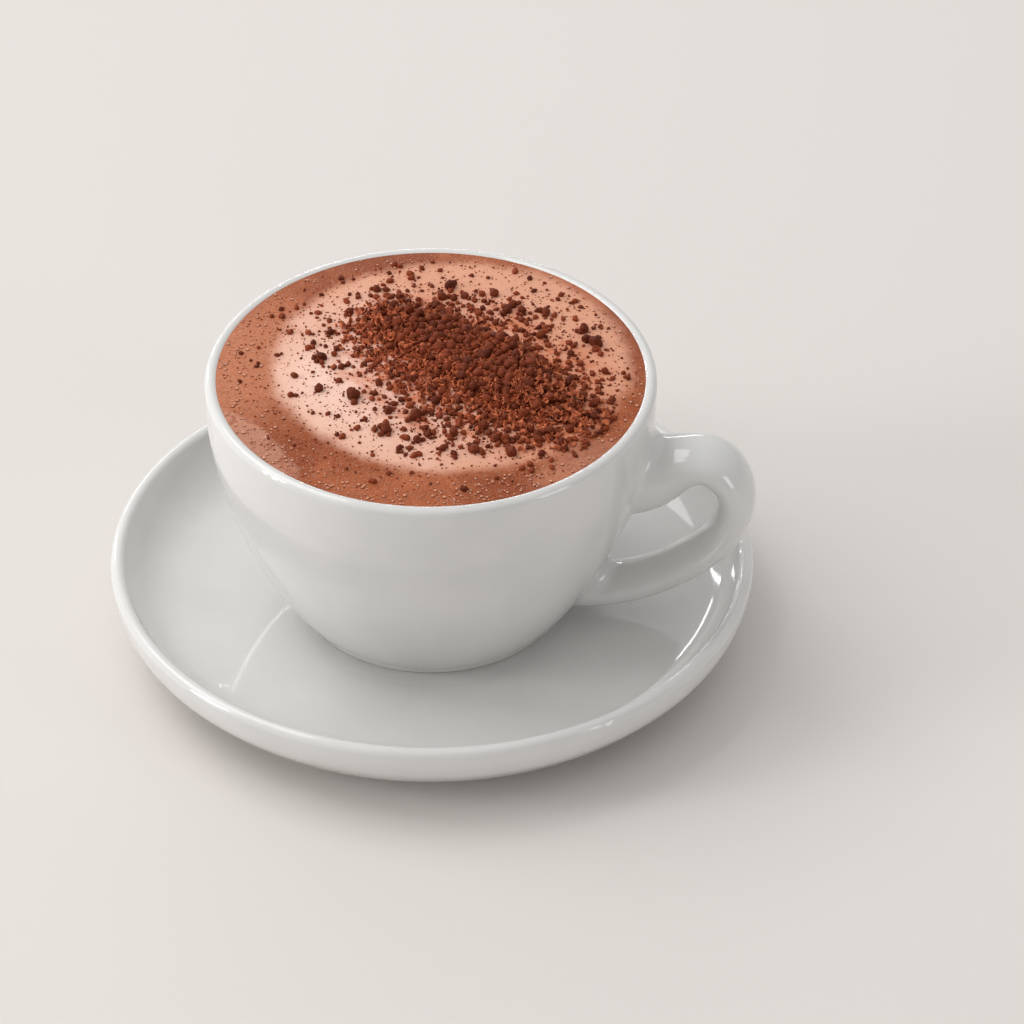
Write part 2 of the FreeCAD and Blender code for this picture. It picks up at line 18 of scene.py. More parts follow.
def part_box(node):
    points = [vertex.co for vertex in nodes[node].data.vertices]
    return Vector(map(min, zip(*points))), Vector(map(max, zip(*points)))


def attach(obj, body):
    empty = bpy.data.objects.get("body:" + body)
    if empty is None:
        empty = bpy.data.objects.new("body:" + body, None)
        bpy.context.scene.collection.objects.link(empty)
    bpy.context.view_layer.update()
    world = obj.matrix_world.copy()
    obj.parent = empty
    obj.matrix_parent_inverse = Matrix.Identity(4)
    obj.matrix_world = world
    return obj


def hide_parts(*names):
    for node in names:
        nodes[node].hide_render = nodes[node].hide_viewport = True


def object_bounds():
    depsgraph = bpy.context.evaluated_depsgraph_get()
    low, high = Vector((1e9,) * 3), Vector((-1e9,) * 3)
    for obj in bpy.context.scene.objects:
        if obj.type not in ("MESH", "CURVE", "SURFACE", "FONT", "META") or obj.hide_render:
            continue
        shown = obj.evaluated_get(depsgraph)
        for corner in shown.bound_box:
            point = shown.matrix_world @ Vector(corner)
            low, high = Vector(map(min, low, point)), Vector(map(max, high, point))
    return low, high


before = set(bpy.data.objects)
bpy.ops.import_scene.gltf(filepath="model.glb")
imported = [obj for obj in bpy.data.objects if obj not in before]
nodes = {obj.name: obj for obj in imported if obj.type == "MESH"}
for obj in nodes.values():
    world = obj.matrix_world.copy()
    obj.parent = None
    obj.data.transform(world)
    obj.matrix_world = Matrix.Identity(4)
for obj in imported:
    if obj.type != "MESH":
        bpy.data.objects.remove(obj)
model_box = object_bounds()
MM = 0.001
print("nodes:", sorted(nodes))


# %% [markdown]
# ## A few tools
# Every finish below is a web of small nodes, so one helper adds a node and feeds it, and one opens a
# node group with named sockets. The groups give out only masks, values and normals. The shader
# itself stays in each material, with its constant numbers on its own sockets.

# %% Helpers for finishes
def put(tree, kind, feeds=None, **settings):
    """Add a node to a tree, set its options, and feed its inputs with numbers, colours or outputs."""
    node = tree.nodes.new(kind)
    for option, choice in settings.items():
        setattr(node, option, choice)
    for socket, feed in (feeds or {}).items():
        if isinstance(feed, bpy.types.NodeSocket):
            tree.links.new(feed, node.inputs[socket])
        else:
            node.inputs[socket].default_value = feed
    return node


def math_node(tree, operation, first, second=0.0, clamp=False):
    """One calculation on two numbers or outputs."""
    return put(tree, "ShaderNodeMath", {0: first, 1: second}, operation=operation, use_clamp=clamp).outputs[0]


def times(tree, first, second, clamp=False):
    """The product of two numbers or outputs."""
    return math_node(tree, "MULTIPLY", first, second, clamp)


def plus(tree, first, second, clamp=False):
    """The sum of two numbers or outputs."""
    return math_node(tree, "ADD", first, second, clamp)


def ramp(tree, value, low, high):
    """A mask that climbs smoothly from 0 at low to 1 at high."""
    feeds = {"Value": value, "From Min": low, "From Max": high}
    return put(tree, "ShaderNodeMapRange", feeds, interpolation_type="SMOOTHSTEP").outputs["Result"]


def blend(tree, share, first, second):
    """Mix two colours by a share from 0 to 1; the mix node takes colours at 6 and 7 and gives one at 2."""
    feeds = {0: share, 6: first, 7: second}
    return put(tree, "ShaderNodeMix", feeds, data_type="RGBA").outputs[2]


def open_group(name, inputs, outputs):
    """A shader node group with named sockets; returns it with its entry and its exit."""
    group = bpy.data.node_groups.new(name, "ShaderNodeTree")
    for label, kind, value in inputs:
        socket = group.interface.new_socket(label, in_out="INPUT", socket_type=kind)
        socket.default_value = value
    for label, kind in outputs:
        group.interface.new_socket(label, in_out="OUTPUT", socket_type=kind)
    return group, group.nodes.new("NodeGroupInput").outputs, group.nodes.new("NodeGroupOutput").inputs


def use_group(tree, group, feeds=None):
    """Place a node group in a material and return its outputs."""
    node = tree.nodes.new("ShaderNodeGroup")
    node.node_tree = group
    for socket, feed in (feeds or {}).items():
        if isinstance(feed, bpy.types.NodeSocket):
            tree.links.new(feed, node.inputs[socket])
        else:
            node.inputs[socket].default_value = feed
    return node.outputs


def open_material(name, **constants):
    """A material with one Principled BSDF; the constants go on its own sockets."""
    material = bpy.data.materials.new(name)
    material.use_nodes = True
    tree = material.node_tree
    surface = tree.nodes["Principled BSDF"]
    for socket, value in constants.items():
        surface.inputs[socket.replace("_", " ")].default_value = value
    here = tree.nodes.new("ShaderNodeTexCoord").outputs["Object"]
    return material, tree, surface, here


def shade(red, green, blue):
    """A colour named by its everyday 0 to 255 numbers, turned into light."""
    parts = []
    for part in (red, green, blue):
        part /= 255
        parts.append(part / 12.92 if part <= 0.04045 else ((part + 0.055) / 1.055) ** 2.4)
    return (*parts, 1.0)


FLOAT, VECTOR = "NodeSocketFloat", "NodeSocketVector"


# %% [markdown]
# ## Shared effects
# Mottle is the soft unevenness of anything poured, fired or frothed: a slow noise that gives a value
# round one half. Grain is a fine bump. Pores is a scatter of small round cells, some open and some not,
# which makes bubbles in froth and pinholes in glaze.

# %% Shared node groups
mottle, enter, leave = open_group(
    "Mottle",
    [("Place", VECTOR, (0, 0, 0)), ("Scale", FLOAT, 100.0), ("Detail", FLOAT, 3.0), ("Twist", FLOAT, 0.0)],
    [("Value", FLOAT)],
)
cloud = put(mottle, "ShaderNodeTexNoise", {"Vector": enter["Place"], "Scale": enter["Scale"],
                                           "Detail": enter["Detail"], "Distortion": enter["Twist"]})
mottle.links.new(cloud.outputs["Fac"], leave["Value"])

grain, enter, leave = open_group(
    "Grain",
    [("Place", VECTOR, (0, 0, 0)), ("Scale", FLOAT, 800.0), ("Depth", FLOAT, 0.0001),
     ("Strength", FLOAT, 0.5)],
    [("Normal", VECTOR)],
)
rough = put(grain, "ShaderNodeTexNoise", {"Vector": enter["Place"], "Scale": enter["Scale"], "Detail": 4.0})
raised = put(grain, "ShaderNodeBump", {"Height": rough.outputs["Fac"], "Distance": enter["Depth"],
                                       "Strength": enter["Strength"]})
grain.links.new(raised.outputs["Normal"], leave["Normal"])

pores, enter, leave = open_group(
    "Pores",
    [("Place", VECTOR, (0, 0, 0)), ("Scale", FLOAT, 900.0), ("Radius", FLOAT, 0.3), ("Open", FLOAT, 0.5)],
    [("Disc", FLOAT), ("Ring", FLOAT), ("Dome", FLOAT)],
)
cells = put(pores, "ShaderNodeTexVoronoi", {"Vector": enter["Place"], "Scale": enter["Scale"],
                                            "Randomness": 1.0})
chance = put(pores, "ShaderNodeSeparateColor", {"Color": cells.outputs["Color"]})
shown = math_node(pores, "LESS_THAN", chance.outputs[0], enter["Open"])
own_radius = times(pores, enter["Radius"], plus(pores, chance.outputs[1], 0.35))
share = math_node(pores, "DIVIDE", cells.outputs["Distance"], own_radius)
inside = math_node(pores, "SUBTRACT", 1.0, ramp(pores, share, 0.8, 1.05))
disc = times(pores, inside, shown)
rim_band = times(pores, disc, ramp(pores, share, 0.45, 0.85))
dome_height = math_node(pores, "SUBTRACT", 1.0, math_node(pores, "POWER", share, 2.0), clamp=True)
pores.links.new(disc, leave["Disc"])
pores.links.new(rim_band, leave["Ring"])
pores.links.new(times(pores, dome_height, shown), leave["Dome"])
print("groups:", [group.name for group in bpy.data.node_groups])


# %% [markdown]
# ## Porcelain
# The cup and saucer are cast in white porcelain, glazed and fired upright. The glaze is thick, so its
# surface lies in very slight waves that bend a reflection. The clay's white shows a faint cool mottle,
# with a few pinholes. The foot rings are wiped clean before firing, so their soles are bare and dull.

# %% Porcelain finish
def bare_sole(tree, here, sole_height):
    """A mask for the unglazed sole of a foot ring whose lowest point is at this height."""
    height = put(tree, "ShaderNodeSeparateXYZ", {"Vector": here}).outputs["Z"]
    glazed = ramp(tree, height, sole_height + 0.3 * MM, sole_height + 0.6 * MM)
    return math_node(tree, "SUBTRACT", 1.0, glazed)


def porcelain_finish(name, sole_height):
    """White glaze, with a bare sole."""
    material, tree, surface, here = open_material(name, IOR=1.52, Coat_Weight=0.35, Coat_Roughness=0.04)
    cloud = use_group(tree, mottle, {"Place": here, "Scale": 38.0, "Detail": 4.0})
    pins = use_group(tree, pores, {"Place": here, "Scale": 160.0, "Radius": 0.05, "Open": 0.10})
    sole = bare_sole(tree, here, sole_height)
    white = blend(tree, ramp(tree, cloud["Value"], 0.3, 0.7), shade(215, 215, 213), shade(222, 221, 219))
    pinned = blend(tree, times(tree, pins["Disc"], 0.35), white, shade(205, 200, 190))
    clay = blend(tree, cloud["Value"], shade(214, 208, 196), shade(226, 221, 210))
    tree.links.new(blend(tree, sole, pinned, clay), surface.inputs["Base Color"])
    glaze_roughness = plus(tree, times(tree, cloud["Value"], 0.06), 0.06)
    tree.links.new(plus(tree, glaze_roughness, times(tree, sole, 0.6)), surface.inputs["Roughness"])
    waves = use_group(tree, grain, {"Place": here, "Scale": 55.0, "Depth": 0.35 * MM, "Strength": 0.10})
    tree.links.new(waves["Normal"], surface.inputs["Normal"])
    return material


def dress(node_name, material):
    """Give a node of the construction model its finish."""
    piece = nodes[node_name]
    for number in range(len(piece.material_slots)):
        piece.material_slots[number].material = material
    if not piece.material_slots:
        piece.data.materials.append(material)
    return piece


cup = dress("cup", porcelain_finish("porcelain_cup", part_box("cup")[0][2]))
saucer = dress("saucer", porcelain_finish("porcelain_saucer", 0.0))
print("porcelain:", len(cup.data.polygons), "cup faces,", len(saucer.data.polygons), "saucer faces")


# %% [markdown]
# ## The froth
# Hot chocolate is poured first and the steamed milk last, so the milk froth lands in a round pale patch
# a little off the middle, and the chocolate is pushed out into a brown ring. The patch ends in a soft,
# slightly torn edge. The ring is full of tiny bubbles. Cocoa dust stains the froth round the heap.

# %% Where things lie on the drink
PATCH_MIDDLE = (5.0, 4.0)
PATCH_RADIUS = 41.8
RIDGE_MIDDLE = Vector((12.0, 3.0))
RIDGE_TURN = math.radians(-41.0)
RIDGE_ALONG = Vector((math.cos(RIDGE_TURN), math.sin(RIDGE_TURN)))
RIDGE_ACROSS = Vector((-RIDGE_ALONG.y, RIDGE_ALONG.x))


def tree_of(piece):
    """A search tree of a piece's faces, for finding its height at a place."""
    corners = [vertex.co for vertex in piece.data.vertices]
    return BVHTree.FromPolygons(corners, [face.vertices for face in piece.data.polygons])


froth_faces = tree_of(nodes["drink"])


def height_at(faces, east, north):
    """Height in mm of a piece's top at a place in mm, or None beside it."""
    hit = faces.ray_cast(Vector((east * MM, north * MM, 0.2)), Vector((0, 0, -1)))[0]
    return hit.z / MM if hit else None


def froth_height(east, north):
    """Height in mm of the froth at a place in mm."""
    return height_at(froth_faces, east, north)


print("froth in the middle at", round(froth_height(0, 0), 2), "mm")


# %% Round patches and bands on the drink
patch, enter, leave = open_group(
    "RoundPatch",
    [("Place", VECTOR, (0, 0, 0)), ("Middle", VECTOR, (0, 0, 0)), ("Turn", FLOAT, 0.0),
     ("Stretch", FLOAT, 1.0), ("Radius", FLOAT, 0.04), ("Soft", FLOAT, 0.002), ("Torn", FLOAT, 0.002)],
    [("Mask", FLOAT)],
)
offset = put(patch, "ShaderNodeVectorMath", {0: enter["Place"], 1: enter["Middle"]}, operation="SUBTRACT")
turned = put(patch, "ShaderNodeVectorRotate", {"Vector": offset.outputs[0], "Angle": enter["Turn"]},
             rotation_type="Z_AXIS", invert=True)
parts = put(patch, "ShaderNodeSeparateXYZ", {"Vector": turned.outputs[0]})
narrowed = times(patch, parts.outputs["Y"], enter["Stretch"])
flat = put(patch, "ShaderNodeCombineXYZ", {"X": parts.outputs["X"], "Y": narrowed})
reach = put(patch, "ShaderNodeVectorMath", {0: flat.outputs[0]}, operation="LENGTH").outputs["Value"]
slow = put(patch, "ShaderNodeTexNoise", {"Vector": enter["Place"], "Scale": 75.0, "Detail": 6.0,
                                         "Roughness": 0.62})
tear = times(patch, math_node(patch, "SUBTRACT", slow.outputs["Fac"], 0.5), enter["Torn"])
edge = plus(patch, reach, times(patch, tear, 4.0))
start = math_node(patch, "SUBTRACT", enter["Radius"], enter["Soft"])
stop = plus(patch, enter["Radius"], enter["Soft"])
patch.links.new(math_node(patch, "SUBTRACT", 1.0, ramp(patch, edge, start, stop)), leave["Mask"])


# %% Colours of the drink
BROWN_DEEP = shade(150, 76, 44)
BROWN_LIGHT = shade(186, 106, 68)
BROWN_MILKY = shade(198, 124, 90)
# Dark brown of the drink, also used as painted shade on bubble edges, pits and bubble sides.
BROWN_DARK_AND_SHADE = shade(84, 34, 16)
CREAM_WARM = shade(228, 167, 138)
# Palest froth, also used for the painted glints in the ring.
CREAM_PALE_AND_GLINT = shade(250, 212, 194)
STAIN = shade(204, 106, 60)
# Colour of the painted sheen on the wet film.
FILM_PAINTED_SHEEN = shade(214, 160, 136)
print("browns and creams are mixed")


# %% Froth finish
def froth_finish():
    """Brown ring, pale patch, cocoa stain, bubbles and a moist shine, with painted sheen, glints and shade.
    """
    material, tree, surface, here = open_material("froth", IOR=1.34, Specular_IOR_Level=0.25)
    cloud = use_group(tree, mottle, {"Place": here, "Scale": 60.0, "Detail": 5.0, "Twist": 0.6})
    fine = use_group(tree, mottle, {"Place": here, "Scale": 900.0, "Detail": 3.0})
    place = {"Place": here, "Middle": (PATCH_MIDDLE[0] * MM, PATCH_MIDDLE[1] * MM, 0)}
    pale = use_group(tree, patch, {**place, "Radius": PATCH_RADIUS * MM, "Soft": 2.4 * MM,
                                   "Torn": 1.6 * MM})["Mask"]
    core = use_group(tree, patch, {**place, "Radius": 34 * MM, "Soft": 9 * MM, "Torn": 2.0 * MM})["Mask"]
    milk = use_group(tree, patch, {"Place": here, "Middle": (-11 * MM, -3 * MM, 0), "Radius": 27 * MM,
                                   "Soft": 20 * MM, "Torn": 2.0 * MM})["Mask"]
    milky = use_group(tree, patch, {"Place": here, "Middle": (-46 * MM, 6 * MM, 0), "Radius": 22 * MM,
                                    "Soft": 14 * MM, "Torn": 3.0 * MM})["Mask"]
    flat = put(tree, "ShaderNodeMapping", {"Vector": here, "Scale": (1, 1, 0)}).outputs[0]
    heap_place = {"Place": flat, "Middle": ((RIDGE_MIDDLE.x - 2.5) * MM, (RIDGE_MIDDLE.y - 3) * MM, 0),
                  "Turn": RIDGE_TURN}
    stain = use_group(tree, patch, {**heap_place, "Stretch": 1.35, "Radius": 35 * MM, "Soft": 11 * MM,
                                    "Torn": 4 * MM})["Mask"]
    small = use_group(tree, pores, {"Place": flat, "Scale": 1150.0, "Radius": 0.34, "Open": 0.34})
    tiny = use_group(tree, pores, {"Place": flat, "Scale": 2600.0, "Radius": 0.36, "Open": 0.5})
    large = use_group(tree, pores, {"Place": flat, "Scale": 430.0, "Radius": 0.26, "Open": 0.10})
    pits_painted_dark = use_group(tree, pores, {"Place": flat, "Scale": 760.0, "Radius": 0.17, "Open": 0.42})
    brown = blend(tree, ramp(tree, cloud["Value"], 0.3, 0.72), BROWN_DEEP, BROWN_LIGHT)
    brown = blend(tree, milky, brown, BROWN_MILKY)
    brown = blend(tree, times(tree, fine["Value"], 0.22), brown, BROWN_DARK_AND_SHADE)
    cloud_swing = math_node(tree, "SUBTRACT", cloud["Value"], 0.5)
    paleness = plus(tree, milk, times(tree, cloud_swing, 0.8), clamp=True)
    cream = blend(tree, paleness, CREAM_WARM, CREAM_PALE_AND_GLINT)
    cream = blend(tree, core, blend(tree, 0.15, cream, BROWN_LIGHT), cream)
    base = blend(tree, pale, brown, cream)
    patchy = use_group(tree, mottle, {"Place": here, "Scale": 240.0, "Detail": 4.0})
    blotch = ramp(tree, patchy["Value"], 0.38, 0.66)
    stain_share = times(tree, stain, plus(tree, times(tree, blotch, 0.6), times(tree, fine["Value"], 0.6)))
    base = blend(tree, times(tree, stain_share, 0.95, clamp=True), base, STAIN)
    ring_share = math_node(tree, "SUBTRACT", 1.0, times(tree, pale, 0.8))
    # Painted shade: the edge of each bubble is darkened where its dome curves down into the froth.
    painted_bubble_edge_shade = math_node(tree, "MAXIMUM", small["Ring"], large["Ring"])
    base = blend(tree, times(tree, painted_bubble_edge_shade, times(tree, ring_share, 0.42)), base, BROWN_DARK_AND_SHADE)
    # Painted shade: open pits in the ring are darkened, as if shaded inside.
    base = blend(tree, times(tree, pits_painted_dark["Disc"], times(tree, ring_share, 0.75)), base, BROWN_DARK_AND_SHADE)
    # Painted highlight: tiny pale dots in the ring stand in for glints of light on bubbles.
    painted_glints = times(tree, tiny["Disc"], times(tree, ring_share, 0.22))
    base = blend(tree, painted_glints, base, CREAM_PALE_AND_GLINT)
    left_film_and_sheen = use_group(tree, patch, {"Place": flat, "Middle": (-39.5 * MM, -26.5 * MM, 0),
                                        "Turn": math.radians(-56), "Stretch": 4.6, "Radius": 16 * MM,
                                        "Soft": 3 * MM, "Torn": 5 * MM})["Mask"]
    right_film_and_sheen = use_group(tree, patch, {"Place": flat, "Middle": (33 * MM, -33.5 * MM, 0),
                                         "Turn": math.radians(44), "Stretch": 2.8, "Radius": 12 * MM,
                                         "Soft": 6 * MM, "Torn": 6 * MM})["Mask"]
    wet_and_sheen = math_node(tree, "MAXIMUM", left_film_and_sheen, times(tree, right_film_and_sheen, 0.6))
    web = use_group(tree, pores, {"Place": flat, "Scale": 260.0, "Radius": 0.75, "Open": 0.9})
    # Painted reflection: the wet film is made paler where it would mirror the room; its lower roughness below
    # is real.
    base = blend(tree, times(tree, wet_and_sheen, 0.5), base, FILM_PAINTED_SHEEN)
    wet_web = times(tree, wet_and_sheen, web["Ring"])
    base = blend(tree, times(tree, wet_web, 0.5), base, BROWN_DEEP)
    tree.links.new(base, surface.inputs["Base Color"])
    dullness = plus(tree, times(tree, pale, 0.20), 0.30)
    roughness = math_node(tree, "SUBTRACT", dullness, times(tree, wet_and_sheen, 0.22))
    tree.links.new(roughness, surface.inputs["Roughness"])
    wrinkles = times(tree, times(tree, wet_and_sheen, web["Dome"]), 1.5)
    swell = plus(tree, times(tree, cloud["Value"], 1.2), wrinkles)
    domes = plus(tree, small["Dome"], times(tree, large["Dome"], 2.2))
    domes = times(tree, domes, times(tree, ring_share, 0.30))
    foam = plus(tree, times(tree, tiny["Dome"], 0.10), times(tree, fine["Value"], 0.10))
    relief = plus(tree, plus(tree, swell, domes), foam)
    bump = put(tree, "ShaderNodeBump", {"Height": relief, "Distance": 0.25 * MM, "Strength": 0.8})
    tree.links.new(bump.outputs["Normal"], surface.inputs["Normal"])
    return material


dress("drink", froth_finish())
print("froth is dressed")


# %% [markdown]
# ## Crumbling the chocolate
# Crumbled chocolate breaks in four ways. Lumps are rounded pieces the size of a lentil. Flakes curl off
# as thin shavings. Crumbs are small angular bits, and specks are the dust that falls furthest. Each kind
# starts as a few different shapes. They are then turned, sized and laid on the froth in large numbers,
# all at their true size, and joined into one piece for each kind.

# %% Shapes of chocolate
def broken_ball(name, seed, subdivisions, unevenness, waviness, squash):
    """A ball of radius 1, broken uneven by noise and squashed."""
    shape = bmesh.new()
    bmesh.ops.create_icosphere(shape, subdivisions=subdivisions, radius=1.0)
    shift = Vector((seed * 7.1, seed * 3.7, seed * 5.3))
    for vertex in shape.verts:
        broad = noise.noise(vertex.co * waviness + shift)
        narrow = noise.noise(vertex.co * waviness * 2.3 + shift)
        vertex.co *= 1.0 + unevenness * (broad + 0.45 * narrow)
    bmesh.ops.scale(shape, vec=squash, verts=shape.verts)
    mesh = bpy.data.meshes.new(name)
    shape.to_mesh(mesh)
    shape.free()
    return mesh


def shaving(name, seed, curl, length, width):
    """A thin strip of length and width, curled about its width, as a plane takes it off a bar."""
    draw = random.Random(seed)
    shape = bmesh.new()
    bmesh.ops.create_grid(shape, x_segments=9, y_segments=2, size=0.5)
    radius = length / curl
    for vertex in shape.verts:
        along, across = vertex.co.x, vertex.co.y
        taper = 1.0 - 0.5 * abs(2 * along) ** 2 + 0.25 * noise.noise(Vector((along * 5, across * 3, seed)))
        angle = curl * along
        grow = radius * (1.0 + 0.22 * (along + 0.5) + 0.2 * across)
        vertex.co = Vector((grow * math.sin(angle), across * width * taper, radius - grow * math.cos(angle)))
    bmesh.ops.solidify(shape, geom=shape.faces[:], thickness=0.09 + 0.05 * draw.random())
    bmesh.ops.recalc_face_normals(shape, faces=shape.faces)
    mesh = bpy.data.meshes.new(name)
    shape.to_mesh(mesh)
    shape.free()
    return mesh


lump_shapes = [broken_ball(f"lump_{n}", n + 1, 3, 0.26, 1.3, (1.0, 0.88, 0.80)) for n in range(10)]
crumb_shapes = [broken_ball(f"crumb_{n}", n + 31, 2, 0.45, 1.3, (1.0, 0.78, 0.66)) for n in range(10)]
speck_shapes = [broken_ball(f"speck_{n}", n + 61, 1, 0.45, 1.0, (1.0, 0.75, 0.55)) for n in range(8)]
flake_shapes = [shaving(f"flake_{n}", n + 91, 1.2 + 0.42 * n, 1.7 + 0.15 * (n % 4), 0.75 + 0.12 * (n % 3))
                for n in range(10)]
print("shapes:", len(lump_shapes), "lumps,", len(flake_shapes), "flakes")


# %% Laying pieces down
TOP = model_box[1][2] / MM - 0.05
print("highest point allowed:", round(TOP, 2), "mm")


def gather(name, pieces, painted_edge_light=0.0):
    """Join many placed shapes into one piece, none of them above TOP.

    Each shape keeps its own tone, from 0 dark to 1 light; its long edges get painted light by the given
    amount, for light shining through thin edges.
    """
    joined = bmesh.new()
    tone_and_edge_light_layer = joined.verts.layers.float.new("tone")
    for shape, place, tone in pieces:
        copy = shape.copy()
        copy.transform(place)
        above = max(vertex.co.z for vertex in copy.vertices) - TOP * MM
        if above > 0:
            copy.transform(Matrix.Translation((0, 0, -above)))
        before = len(joined.verts)
        joined.from_mesh(copy)
        joined.verts.ensure_lookup_table()
        half_width = max(vertex.co.y for vertex in shape.vertices)
        for number, vertex in enumerate(shape.vertices):
            # Painted light: the long edges of a shape are made lighter, as where light shines through a thin
            # flake.
            joined.verts[before + number][tone_and_edge_light_layer] = tone + painted_edge_light * (vertex.co.y / half_width) ** 2
        bpy.data.meshes.remove(copy)
    for face in joined.faces:
        face.smooth = True
    mesh = bpy.data.meshes.new(name)
    joined.to_mesh(mesh)
    joined.free()
    piece = bpy.data.objects.new(name, mesh)
    bpy.context.collection.objects.link(piece)
    return piece


def placed(draw, east, north, height, scale, tilt):
    """A place in metres for a shape of radius 1 mm times scale, turned at random."""
    turn = Euler((draw.uniform(-tilt, tilt), draw.uniform(-tilt, tilt), draw.uniform(-math.pi, math.pi)))
    spot = Matrix.Translation(Vector((east, north, height)) * MM)
    return spot @ turn.to_matrix().to_4x4() @ Matrix.Scale(scale * MM, 4)


def lay(pieces, draw, shapes, spot, scale, tones, tilt=3.1):
    """Add one of the shapes at a spot (east, north, height) in mm, with a tone between two tones."""
    pieces.append((draw.choice(shapes), placed(draw, *spot, scale, tilt), draw.uniform(*tones)))


def ridge_place(along, across):
    """A place in mm, given along and across the heap."""
    return RIDGE_MIDDLE + RIDGE_ALONG * along + RIDGE_ACROSS * across


class Spacing:
    """Keeps pieces apart. At share 1 they may just touch; below it they may sink into each other a little."""

    def __init__(self, share):
        self.share = share
        self.taken = []

    def claim(self, east, north, radius):
        """Take the spot if it is free."""
        for other_east, other_north, other_radius in self.taken:
            gap = self.share * (radius + other_radius)
            if (east - other_east) ** 2 + (north - other_north) ** 2 < gap * gap:
                return False
        self.taken.append((east, north, radius))
        return True


# %% [markdown]
# ## The heap
# The heap was dropped from a spoon in one sweep, so it is a long ridge across the froth. Under it lies a
# low mound of packed crumbs, which is a little smaller than the heap itself. Lumps crowd the crest, the
# shavings slide down both sides, and the near side has more of them.

# %% The mound under the heap
FROTH_LEVEL = 74.0
MOUND_MIDDLE = Vector((9.0, 4.5, FROTH_LEVEL)) * MM
MOUND_SHARE = (0.74, 0.74, 0.62)


def make_mound():
    """A copy of the heap's solid, drawn in on every side, and roughened as packed crumbs."""
    shape = bmesh.new()
    shape.from_mesh(nodes["chocolate_heap"].data)
    bmesh.ops.remove_doubles(shape, verts=shape.verts, dist=0.01 * MM)
    bmesh.ops.triangulate(shape, faces=shape.faces)
    long_edges = [edge for edge in shape.edges if edge.calc_length() > 2.5 * MM]
    bmesh.ops.subdivide_edges(shape, edges=long_edges, cuts=2, use_grid_fill=True)
    bmesh.ops.scale(shape, vec=MOUND_SHARE, space=Matrix.Translation(-MOUND_MIDDLE), verts=shape.verts)
    for vertex in shape.verts:
        if vertex.co.z > FROTH_LEVEL * MM:
            vertex.co.z += 0.35 * MM * noise.noise(vertex.co / MM * 0.6)
    bmesh.ops.recalc_face_normals(shape, faces=shape.faces)
    for face in shape.faces:
        face.smooth = True
    mesh = bpy.data.meshes.new("heap_mound")
    shape.to_mesh(mesh)
    shape.free()
    piece = bpy.data.objects.new("heap_mound", mesh)
    bpy.context.collection.objects.link(piece)
    return piece


mound = make_mound()
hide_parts("chocolate_heap")
mound_faces = tree_of(mound)


def bed_height(east, north):
    """Height in mm of what a crumb lands on: the mound, or the froth beside it."""
    mound_top = height_at(mound_faces, east, north)
    froth_top = froth_height(east, north)
    return max(mound_top, froth_top) if mound_top else froth_top


print("mound:", len(mound.data.polygons), "faces")


# %% Lumps on the crest
RIDGE_LUMPS = 172
RIDGE_AND_NEAR_LUMPS = 218
draw = random.Random(11)
lump_spacing = Spacing(0.74)
lumps = []
tries = 0
while len(lumps) < RIDGE_LUMPS and tries < 2500:
    tries += 1
    along = draw.uniform(-33, 33)
    across = draw.gauss(1.2 - 0.05 * along, 5.4 + 1.4 * math.sin(along * 0.13))
    east, north = ridge_place(along, across)
    radius = draw.uniform(0.85, 1.75) * (1.0 - 0.25 * abs(along) / 33)
    thin_out = 0.5 if along > 13 else 0.0
    if abs(across) > 11 or math.hypot(east, north) > 45 or draw.random() < thin_out:
        continue
    if not lump_spacing.claim(east, north, radius):
        continue
    height = min(bed_height(east, north) + 0.52 * radius, TOP - 1.1 * radius)
    lay(lumps, draw, lump_shapes, (east, north, height), radius, (0.0, 0.55))
while len(lumps) < RIDGE_AND_NEAR_LUMPS:
    along, across = draw.uniform(-16, 32), draw.gauss(-12.5, 3.6)
    east, north = ridge_place(along, across)
    radius = draw.uniform(0.55, 1.25)
    if math.hypot(east, north) < 44 and lump_spacing.claim(east, north, radius):
        height = bed_height(east, north) + 0.5 * radius
        lay(lumps, draw, lump_shapes, (east, north, height), radius, (0.1, 0.7))
first_layer = len(lumps)
upper_spacing = Spacing(0.95)
for east, north, radius in list(lump_spacing.taken):
    along = (Vector((east, north)) - RIDGE_MIDDLE).dot(RIDGE_ALONG)
    across = (Vector((east, north)) - RIDGE_MIDDLE).dot(RIDGE_ACROSS)
    if abs(across - 1.8) > 5.4 or abs(along) > 26 or draw.random() < (0.35 if along < 13 else 0.75):
        continue
    east, north = east + draw.uniform(-1.2, 1.2), north + draw.uniform(-1.2, 1.2)
    radius = draw.uniform(0.95, 1.65)
    if upper_spacing.claim(east, north, radius):
        height = min(bed_height(east, north) + 1.75 * radius, TOP - 1.05 * radius)
        lay(lumps, draw, lump_shapes, (east, north, height), radius, (0.0, 0.5))
print("lumps:", first_layer, "below and", len(lumps) - first_layer, "on top")


